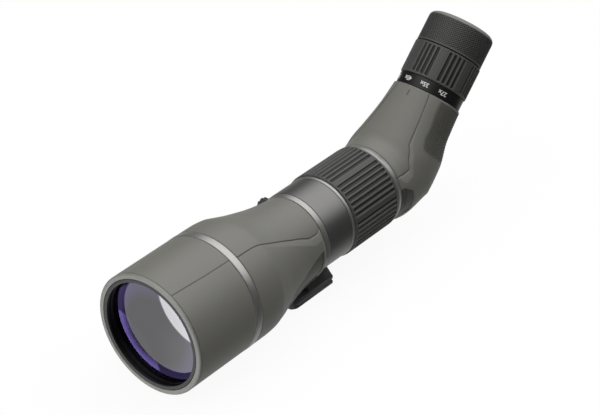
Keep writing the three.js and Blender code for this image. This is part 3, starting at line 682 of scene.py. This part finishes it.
MARK_SHARES = (0.9, 0.955)  # ends of the zoom index mark
HOUSING_LENGTH = 95  # roughly, along the elbow
HOUSING_RADIUS = 33
DIAMOND_ROWS = 20  # diamonds along the grip patch
DIAMOND_STEPS = 5  # grid rows and columns in one diamond
ANGLE_STEP = 0.75
END_ROUND = 0.8
EASE_REACH = 26  # how far the rounding of the inner bend reaches


def section_plane(share):
    """Centre (station, height) and tilt of the elbow's section at a share of the way along it."""
    along = np.array([math.cos(TILT), math.sin(TILT)])
    eye_point = np.array([EYE.origin[1] - FRONT, EYE.origin[2] - HEIGHT])
    eye_start = (PIVOT - eye_point) @ along
    straight = PIVOT[0] - HOUSING_START
    bend = TILT * PIVOT[1] * 0.9
    travel = share * (straight + bend + EYE_TOP - eye_start)
    if travel < straight:
        return np.array([HOUSING_START + travel, 0]), 0
    if travel > straight + bend:
        return eye_point + (eye_start + travel - straight - bend) * along, TILT
    tilt = TILT * (travel - straight) / bend
    reach = PIVOT[1] / math.cos(min(tilt, TILT - tilt))
    return PIVOT + reach * np.array([math.sin(tilt), -math.cos(tilt)]), tilt


def elbow(shares, angles, inset):
    """Grid of points on the elbow, moved inwards by inset."""
    grid = []
    for share in shares:
        centre, tilt = section_plane(share)
        cos, sin = np.cos(np.radians(angles)), np.sin(np.radians(angles))
        power = 2 / POWER(share)
        up = (np.where(sin > 0, ABOVE(share), BELOW(share)) - inset) * np.sign(sin) * np.abs(sin) ** power
        side = (HALF_WIDTH(share) - inset) * np.sign(cos) * np.abs(cos) ** power
        grid.append(np.stack([side, FRONT + centre[0] - up * math.sin(tilt),
                              HEIGHT + centre[1] + up * math.cos(tilt)], -1))
    return np.array(grid)


def eased(grid, reach):
    """Rounds the bends of each column of a grid, by averaging up to reach either way along it."""
    spread = np.linspace(-1, 1, 33)
    share = (1 + np.cos(np.pi * spread)) / 33
    made = grid.copy()
    for j in range(grid.shape[1]):
        step = np.linalg.norm(np.diff(grid[:, j], axis=0), axis=1)
        along = np.concatenate([[0], np.cumsum(step)])
        room = np.minimum(reach[j], np.minimum(along, along[-1] - along))
        places = along[:, None] + room[:, None] * spread
        for k in range(3):
            made[:, j, k] = np.interp(places, along, grid[:, j, k]) @ share / share.sum()
    return made


def housing_height(share, angle):
    """Sunk panel, ledge, knurled patches, hollow beside the focus ring and the zoom index mark. The second value
    is painted shade in the crease, the patches' valleys and the hollow's texture, with painted highlights on the
    patches' diamond tops; the index mark is drawn dark as well.
    """
    mm = math.radians(HOUSING_RADIUS)
    crease, edge, rise = HOUSING_CREASE(share), HOUSING_EDGE(share), HOUSING_RISE(share)
    ledge = rise * ramp(angle, crease, edge) * smoothstep(angle, -50, 15) - 0.35 * rise
    patch = smoothstep((PATCH_EDGE(share) - angle) * mm, -0.5, 3.5) * smoothstep(share, 0.49, 0.54)
    patch = patch * (1 - smoothstep(share, PATCH_SHARES[1], PATCH_SHARES[1] + 0.008))
    hollow = smoothstep((HOLLOW_END(angle) - share) * HOUSING_LENGTH, 0, 1.6)
    hollow = hollow * smoothstep((15 - angle) * mm, 0, 1.5) * smoothstep(angle, -60, -39)
    along = (share - PATCH_SHARES[0]) / (PATCH_SHARES[1] - PATCH_SHARES[0]) * DIAMOND_ROWS
    diamonds = knurl(along, (angle + 90) / (DIAMOND_STEPS * ANGLE_STEP))
    fine, textured = knurl(share * 50, angle / 3.2), ramp(hollow, 0.6, 1)
    start, end = MARK_SHARES
    mark = smoothstep(share, start - 0.005, start + 0.005) * (1 - smoothstep(share, end - 0.005, end + 0.005))
    line = np.maximum(dent((angle - crease) * mm), dent((90 - angle) * mm, 0.5) * mark)
    height = ledge - 0.4 * line + patch * (0.6 * diamonds - 0.5) - 0.8 * hollow + 0.16 * fine * textured
    dark = np.maximum(patch * (1.35 - 2.1 * diamonds), textured * (1 - 0.7 * fine))
    return height, np.maximum(line, dark)


def prism_armour():
    """Moulded skin over the elbow, its inner bend rounded and its ends softened."""
    low, high = PATCH_SHARES
    shares = stretches((0, low, 62), (low, high, DIAMOND_ROWS * DIAMOND_STEPS), (high, 1, 8))
    right = np.arange(90, -90.1, -ANGLE_STEP)
    angles = np.concatenate([right, 180 - right[-2:0:-1]])
    reach = EASE_REACH * smoothstep(np.sin(np.radians(angles)), 0.1, 0.7)
    outer = eased(elbow(shares, angles, 0), reach)
    normal = np.cross(np.gradient(np.concatenate([outer[:, -1:], outer, outer[:, :1]], 1), axis=1)[:, 1:-1],
                      np.gradient(outer, axis=0))
    normal /= np.linalg.norm(normal, axis=2, keepdims=True)
    centre = outer.mean(axis=1, keepdims=True)
    if np.sum(normal * (outer - centre)) < 0:
        normal = -normal
    height, hollow = housing_height(shares[:, None], right[None])
    from_end = np.minimum(shares, 1 - shares) * HOUSING_LENGTH
    end_round = END_ROUND * (1 - np.sqrt(1 - (1 - ramp(from_end, 0, END_ROUND)) ** 2))
    height = both_sides(height) * smoothstep(from_end, 0.2, 1.5)[:, None]
    outer = outer + normal * (height - end_round[:, None])[..., None]
    inner = elbow(np.linspace(1, 0, 12), angles, SKIN)
    hollow = np.concatenate([both_sides(hollow), np.zeros((len(inner), len(angles)))])
    return tube("prism_armour_skin", np.concatenate([outer, inner]), ["prism_armour"], hollow=hollow)


# ---- mount, knob and lenses

def apply_modifiers(made):
    """Turns an object's modifiers into its mesh."""
    mesh = bpy.data.meshes.new_from_object(made.evaluated_get(bpy.context.evaluated_depsgraph_get()))
    made.modifiers.clear()
    made.data = mesh


def tool(name, points, faces):
    """A bare closed mesh object that cuts or joins others. Its faces are turned to point out."""
    mesh = bpy.data.meshes.new(name)
    mesh.from_pydata((np.asarray(points) * MM).tolist(), [], faces)
    turned = bmesh.new()
    turned.from_mesh(mesh)
    bmesh.ops.recalc_face_normals(turned, faces=turned.faces)
    turned.to_mesh(mesh)
    turned.free()
    made = bpy.data.objects.new(name, mesh)
    bpy.context.scene.collection.objects.link(made)
    return made


def combine(target, other, operation):
    """Joins other to target or cuts it out, and removes other."""
    step = target.modifiers.new("step", "BOOLEAN")
    step.object = other
    step.operation = operation
    step.solver = "EXACT"
    bpy.context.view_layer.update()
    apply_modifiers(target)
    bpy.data.objects.remove(other)


def box_tool(low, high):
    """A box between two opposite corners."""
    corners = [(x, y, z) for x in (low[0], high[0]) for y in (low[1], high[1]) for z in (low[2], high[2])]
    faces = [(0, 1, 3, 2), (4, 6, 7, 5), (0, 4, 5, 1), (2, 3, 7, 6), (0, 2, 6, 4), (1, 5, 7, 3)]
    return tool("box", corners, faces)


def rod_tool(axis, radius, start, end, count=64):
    """A straight rod between two stations of an axis."""
    a = np.arange(count) * 360 / count
    points = np.concatenate([axis.place(start, radius, a), axis.place(end, radius, a)])
    faces = [[j, (j + 1) % count, count + (j + 1) % count, count + j] for j in range(count)]
    ends = [list(range(count))[::-1], list(range(count, 2 * count))]
    return tool("rod", points, faces + ends)


def soften(made, width, segments):
    """Rounds the sharp edges of a mesh, as a modifier."""
    weld = made.modifiers.new("weld", "WELD")
    weld.merge_threshold = 1e-6
    bevel = made.modifiers.new("edges", "BEVEL")
    bevel.width = width * MM
    bevel.segments = segments
    bevel.limit_method = "ANGLE"
    bevel.angle_limit = math.radians(30)
    bevel.harden_normals = True
    bevel.use_clamp_overlap = True


def tripod_collar():
    """Ring round the barrel, united with the foot's pad and the lock knob's boss."""
    start, end = MAIN.extent("accent_ring_body")[1] + 0.3, MAIN.extent("collar_retaining_ring")[0] - 0.3
    bore = MAIN.extent("collar_liner")[3] + 0.3
    outer = MAIN.extent("accent_ring_body")[3]
    ring = revolve("tripod_collar_fine", MAIN, [(start, bore), (start, outer), (end, outer), (end, bore)],
                   ["tripod_collar"], 0.6)
    low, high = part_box("tripod_collar")
    pad = box_tool((-12, low.y / MM + 0.6, low.z / MM), (12, high.y / MM - 5, HEIGHT - 30.5))
    knob_start = KNOB.extent("lock_knob")[0]
    boss = rod_tool(KNOB, 6.2, knob_start - 9, knob_start - 0.5)
    for added in (pad, boss):
        combine(added, rod_tool(MAIN, bore + 0.8, start - 5, end + 5, TURNS), "DIFFERENCE")
        combine(ring, added, "UNION")
    combine(ring, rod_tool(KNOB, 4.6, knob_start - 12, knob_start + 2), "DIFFERENCE")
    ring.data.set_sharp_from_angle(angle=math.radians(35))
    settle(ring, ["tripod_collar"])


FOOT_HALF_WIDTH = 19
RAIL_HEIGHT = 8  # the rail stands on the frame's XY plane
NOSE_RADIUS = 10
PEDESTAL_TOP = 21.5


def prism(name, outline, low, high, across):
    """A straight prism. across turns (a, b, depth) into a point."""
    count = len(outline)
    points = np.array([across(a, b, depth) for depth in (low, high) for a, b in outline])
    faces = [[j, (j + 1) % count, count + (j + 1) % count, count + j] for j in range(count)]
    ends = [list(range(count))[::-1], list(range(count, 2 * count))]
    return tool(name, points, faces + ends)


def mounting_foot():
    """Dovetail rail with a rounded nose, and a tapered pedestal whose saddle wraps the collar."""
    low, high = (np.array(corner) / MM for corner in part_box("mounting_foot"))
    half, far = FOOT_HALF_WIDTH, high[1] + 1
    side = [(half - 0.5, 0), (half, 0.5), (half, 2.6), (half - 1.2, 3.7), (half - 1.2, 3.9),
            (half - 0.1, 4.9), (half - 0.1, RAIL_HEIGHT)]
    outline = side + [(-x, z) for x, z in side[::-1]]
    foot = prism("mounting_foot_fine", outline, low[1], high[1], lambda x, z, y: (x, y, z))
    turn = np.radians(np.arange(0, 91, 15))
    corner = [(half + 0.01 - NOSE_RADIUS * (1 - math.sin(a)), low[1] + NOSE_RADIUS * (1 - math.cos(a)))
              for a in turn]
    plan = [(half + 0.01, far)] + corner[::-1] + [(-x, y) for x, y in corner] + [(-half - 0.01, far)]
    combine(foot, prism("plan", plan, -1, RAIL_HEIGHT + 1, lambda x, y, z: (x, y, z)), "INTERSECT")
    chin = [(-1, -1), (3.2, -1), (2.6, 0), (0.8, 1.2), (0, 3), (-1, 3)]
    combine(foot, prism("chin", chin, -30, 30, lambda y, z, x: (x, low[1] + y, z)), "DIFFERENCE")
    corners = [(half - 0.25, high[1] - 28.5, RAIL_HEIGHT - 0.5), (half - 0.25, high[1], RAIL_HEIGHT - 0.5),
               (half - 2, high[1] - 6.9, PEDESTAL_TOP), (half - 2, high[1] - 26.8, PEDESTAL_TOP)]
    points = corners + [(-x, y, z) for x, y, z in corners]
    faces = [[0, 1, 2, 3], [4, 7, 6, 5], [0, 4, 5, 1], [1, 5, 6, 2], [2, 6, 7, 3], [3, 7, 4, 0]]
    combine(foot, tool("pedestal", points, faces), "UNION")
    saddle = MAIN.extent("accent_ring_body")[3] + 0.5
    combine(foot, rod_tool(MAIN, saddle, 145, 200, TURNS), "DIFFERENCE")
    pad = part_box("tripod_collar")[0].z / MM - 0.3
    combine(foot, box_tool((-12.3, 0.3, pad), (12.3, 22.3, pad + 20)), "DIFFERENCE")
    for screw in ("foot_screw_front", "foot_screw_rear"):
        y = sum(corner.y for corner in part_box(screw)) / 2 / MM
        hole = Axis((0, y, 0), (0, 0, 1))
        combine(foot, rod_tool(hole, 4.2, -1, 5, 32), "DIFFERENCE")
        combine(foot, rod_tool(hole, 2.2, 4, 20, 32), "DIFFERENCE")
    y = sum(corner.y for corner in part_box("tripod_thread_insert")) / 2 / MM
    combine(foot, rod_tool(Axis((0, y, 0), (0, 0, 1)), 5.2, -1, 12, 48), "DIFFERENCE")
    soften(foot, 0.45, 3)
    bpy.context.view_layer.update()
    apply_modifiers(foot)
    foot.data.shade_smooth()
    foot.data.set_sharp_from_angle(angle=math.radians(45))
    settle(foot, ["mounting_foot"])


KNOB_FLUTES = 10
KNOB_COLUMNS = 240


def lock_knob():
    """Round knob with shallow flutes and a dished face."""
    start, end, inner, outer = KNOB.extent("lock_knob")
    outline = [(end - 2.4, 0), (end - 2.4, 2.8), (start, 2.8), (start, outer - 0.3), (start + 1, outer),
               (end - 1, outer), (end, outer - 1.6), (end, 3.2), (end - 0.5, 2.6), (end - 0.5, 0)]
    profile = rounded(outline, 0.7, closed=False)
    degrees = np.arange(KNOB_COLUMNS) * 360 / KNOB_COLUMNS
    across = (degrees + 180 / KNOB_FLUTES) % (360 / KNOB_FLUTES) - 180 / KNOB_FLUTES
    scallop = 1.0 * (1 - smoothstep(np.abs(np.radians(across)) * outer, 0.5, 1.7))
    radius = profile[:, 1:] - scallop[None] * smoothstep(profile[:, 1:], 0.62 * outer, 0.9 * outer)
    solid("lock_knob_fluted", KNOB.place(profile[:, :1], radius, degrees[None]), ["lock_knob"])


def bulged(start, end, radius, front, back, rings=20):
    """Outline of a lens from its front centre round its edge to its back centre."""
    share = np.linspace(0, 1, rings)
    outline = [(start - front * (1 - t * t), radius * t) for t in share]
    return outline + [(end + back * (1 - t * t), radius * t) for t in share[::-1]]


def lens(name, axis, node, front, back, material=None):
    """A smooth lens with the same edge as the CAD lens. Bulges are how far the middles stand out."""
    start, end, _, radius = axis.extent(node)
    start, end = start + max(front, 0), end - max(back, 0)
    outline = np.array(bulged(start, end, radius, front, back))
    return solid(name, axis.place(outline[:, :1], outline[:, 1:], ALL_ROUND[None]), [node], material)


def lenses():
    """The lenses that show, with how far their middles stand out in front and behind."""
    lens("objective_lens_front_polished", MAIN, "objective_lens_front", 3.4, -2.6, front_glass())
    lens("objective_lens_rear_polished", MAIN, "objective_lens_rear", -2.2, 0.6)
    lens("eye_lens_polished", EYE, "eye_lens", 1.5, 1.8)


def objective_cell():
    """Cell whose grey front face has a narrow lip. The rest of its bore is blackened."""
    start, end, inner, outer = MAIN.extent("objective_cell")
    bore = MAIN.extent("objective_lens_front")[3] + 0.3
    revolve("objective_cell_fine", MAIN, [(start, bore - 1), (start, outer), (end, outer), (end, inner),
            (end - 2.7, inner), (end - 2.7, bore), (start + 1.6, bore), (start + 1.6, bore - 1)],
            ["objective_cell"], 0.25, dark_from=start + 0.3, dark_within=bore + 0.1)
    for node in ("objective_retaining_ring", "objective_spacer"):
        plain_ring(node, MAIN, 0.3, dark_within=bore)


def smooth_rings():
    for node in ("objective_seal", "shade_friction_ring", "baffle_ring_front", "baffle_ring_rear",
                 "focus_ring"):
        plain_ring(node, MAIN, 0.3)
    for node in ("eye_lens_ring", "eyecup_cam_ring", "eyecup_sleeve", "zoom_cam_sleeve"):
        plain_ring(node, EYE, 0.3)


# ---- CAD nodes that stay

def finish_cad_nodes():
    """Materials, smooth sides and softened edges for every CAD node that still shows."""
    for name, made in NODES.items():
        if made.hide_render:
            continue
        if "custom_normal" in made.data.attributes:
            made.data.attributes.remove(made.data.attributes["custom_normal"])
        made.data.materials.clear()
        made.data.materials.append(FINISH[SLOT_OF[name]])
        made.data.shade_smooth()
        soften(made, *((0.3, 3) if name == "main_body" else (0.2, 2)))


# ---- studio

def lobe(tree, direction, axis, outer, inner, level):
    """Soft light from round an axis: full within the inner angle, none past the outer one, in degrees."""
    part = vector_node(tree, "DOT_PRODUCT", direction, Vector(axis).normalized())
    outer, inner = math.cos(math.radians(outer)), math.cos(math.radians(inner))
    return remap(tree, part, outer, inner, high=level, interpolation_type="SMOOTHSTEP")


# Studio lengths are metres.
LIGHTS = {  # direction, outer and inner angle, level
    "overhead": ((0.05, 0.5, 0.86), 58, 15, 1.7),
    "below": ((-0.35, 0.6, -0.72), 60, 20, 0.5),
    "front_below": ((0.25, -0.55, -0.8), 50, 15, 0.6),
    "front": ((-0.1, -0.85, 0.5), 48, 12, 1.5),
    "front_low": ((-0.5, -0.7, -0.5), 50, 25, 0.56),
}
AMBIENT = 0.04
CARD_SLOPES = (-0.515, -1, -0.585)  # a round white card in front, seen along this direction
CARD_RADIUS = 0.24
CARD_LEVEL = 2.4


def studio_world():
    """White to the camera. The light is a few soft lobes and a card in dark surroundings."""
    world = bpy.data.worlds.new("studio")
    bpy.context.scene.world = world
    world.use_nodes = True
    tree = world.node_tree
    tree.nodes.clear()
    direction = add(tree, "TexCoord").outputs["Generated"]
    level = AMBIENT
    for axis, outer, inner, strength in LIGHTS.values():
        level = math_node(tree, "ADD", level, lobe(tree, direction, axis, outer, inner, strength))
    forward = add(tree, "SeparateXYZ", {0: direction}).outputs["Y"]
    ahead = math_node(tree, "MAXIMUM", math_node(tree, "MULTIPLY", forward, -1.0), 0.05)
    slopes = vector_node(tree, "SCALE", direction, math_node(tree, "DIVIDE", 1.0, ahead))
    away = vector_node(tree, "DISTANCE", slopes, CARD_SLOPES)
    card = remap(tree, away, CARD_RADIUS + 0.01, CARD_RADIUS - 0.01, high=CARD_LEVEL)
    level = math_node(tree, "ADD", level, card)
    seen = add(tree, "LightPath").outputs["Is Camera Ray"]
    shown = add(tree, "Mix", {0: seen, 2: level, 3: WHITE}).outputs[0]
    background = add(tree, "Background", {"Color": (1, 1, 1, 1), "Strength": shown})
    add(tree, "OutputWorld", {"Surface": background.outputs[0]})


FLOOR_SIZE = 30.0  # metres
FLOOR_GLOW = 0.9  # share of its colour that isn't shaded
WHITE = 1.03  # shows as white with a little to spare


def floor():
    """Pale floor under the foot. It shows nearly white, with a soft shadow, and is clear from below."""
    corners = [(x * FLOOR_SIZE, y * FLOOR_SIZE, -0.0003) for x, y in ((-1, -1), (1, -1), (1, 1), (-1, 1))]
    mesh = bpy.data.meshes.new("floor")
    mesh.from_pydata(corners, [], [(0, 1, 2, 3)])
    made = bpy.data.objects.new("floor", mesh)
    bpy.context.scene.collection.objects.link(made)
    material, tree = new_material("pale_floor")
    speckle = mix_color(tree, noise(tree, own_place(tree), 60.0), (0.8, 0.8, 0.8), (0.84, 0.84, 0.84))
    matt = add(tree, "BsdfDiffuse", {"Color": speckle})
    glow = add(tree, "Emission", {"Color": (1, 1, 1, 1), "Strength": WHITE})
    share = math_node(tree, "MULTIPLY", add(tree, "LightPath").outputs["Is Camera Ray"], FLOOR_GLOW)
    both = add(tree, "MixShader", {0: share, 1: matt.outputs[0], 2: glow.outputs[0]})
    under = add(tree, "NewGeometry").outputs["Backfacing"]
    clear = add(tree, "BsdfTransparent")
    shown = add(tree, "MixShader", {0: under, 1: both.outputs[0], 2: clear.outputs[0]})
    add(tree, "OutputMaterial", {"Surface": shown.outputs[0]})
    mesh.materials.append(material)
    made.visible_glossy = False
    made.visible_diffuse = False
    made.visible_shadow = False
    made.visible_transmission = False


CAMERA_PLACE = (0.849218, -1.025752, 0.972179)
CAMERA_TURN = 39.478  # degrees from straight ahead, round to +X
CAMERA_LIFT = 33.972
CAMERA_ROLL = -0.03
CAMERA_LENS = 127.02


def camera():
    """Front quarter view from above, on a long lens."""
    lens_data = bpy.data.cameras.new("camera")
    lens_data.lens = CAMERA_LENS
    lens_data.sensor_width = 36
    made = bpy.data.objects.new("camera", lens_data)
    turn, lift, roll = (math.radians(angle) for angle in (CAMERA_TURN, CAMERA_LIFT, CAMERA_ROLL))
    back = Vector((math.sin(turn) * math.cos(lift), -math.cos(turn) * math.cos(lift), math.sin(lift)))
    level = Vector((math.cos(turn), math.sin(turn), 0))
    right = level * math.cos(roll) + back.cross(level) * math.sin(roll)
    place = Matrix((right, back.cross(right), back)).transposed().to_4x4()
    place.translation = CAMERA_PLACE
    made.matrix_world = place
    bpy.context.scene.collection.objects.link(made)
    bpy.context.scene.camera = made


def studio():
    studio_world()
    floor()
    camera()
    bpy.context.scene.view_settings.view_transform = "Standard"
    bpy.context.scene.view_settings.look = "None"


lens_shade()
body_armour()
front_rim()
bright_rings()
focus_grip()
zoom_grip()
eyecup()
scale_band()
prism_armour()
tripod_collar()
mounting_foot()
lock_knob()
lenses()
objective_cell()
smooth_rings()
finish_cad_nodes()
studio()
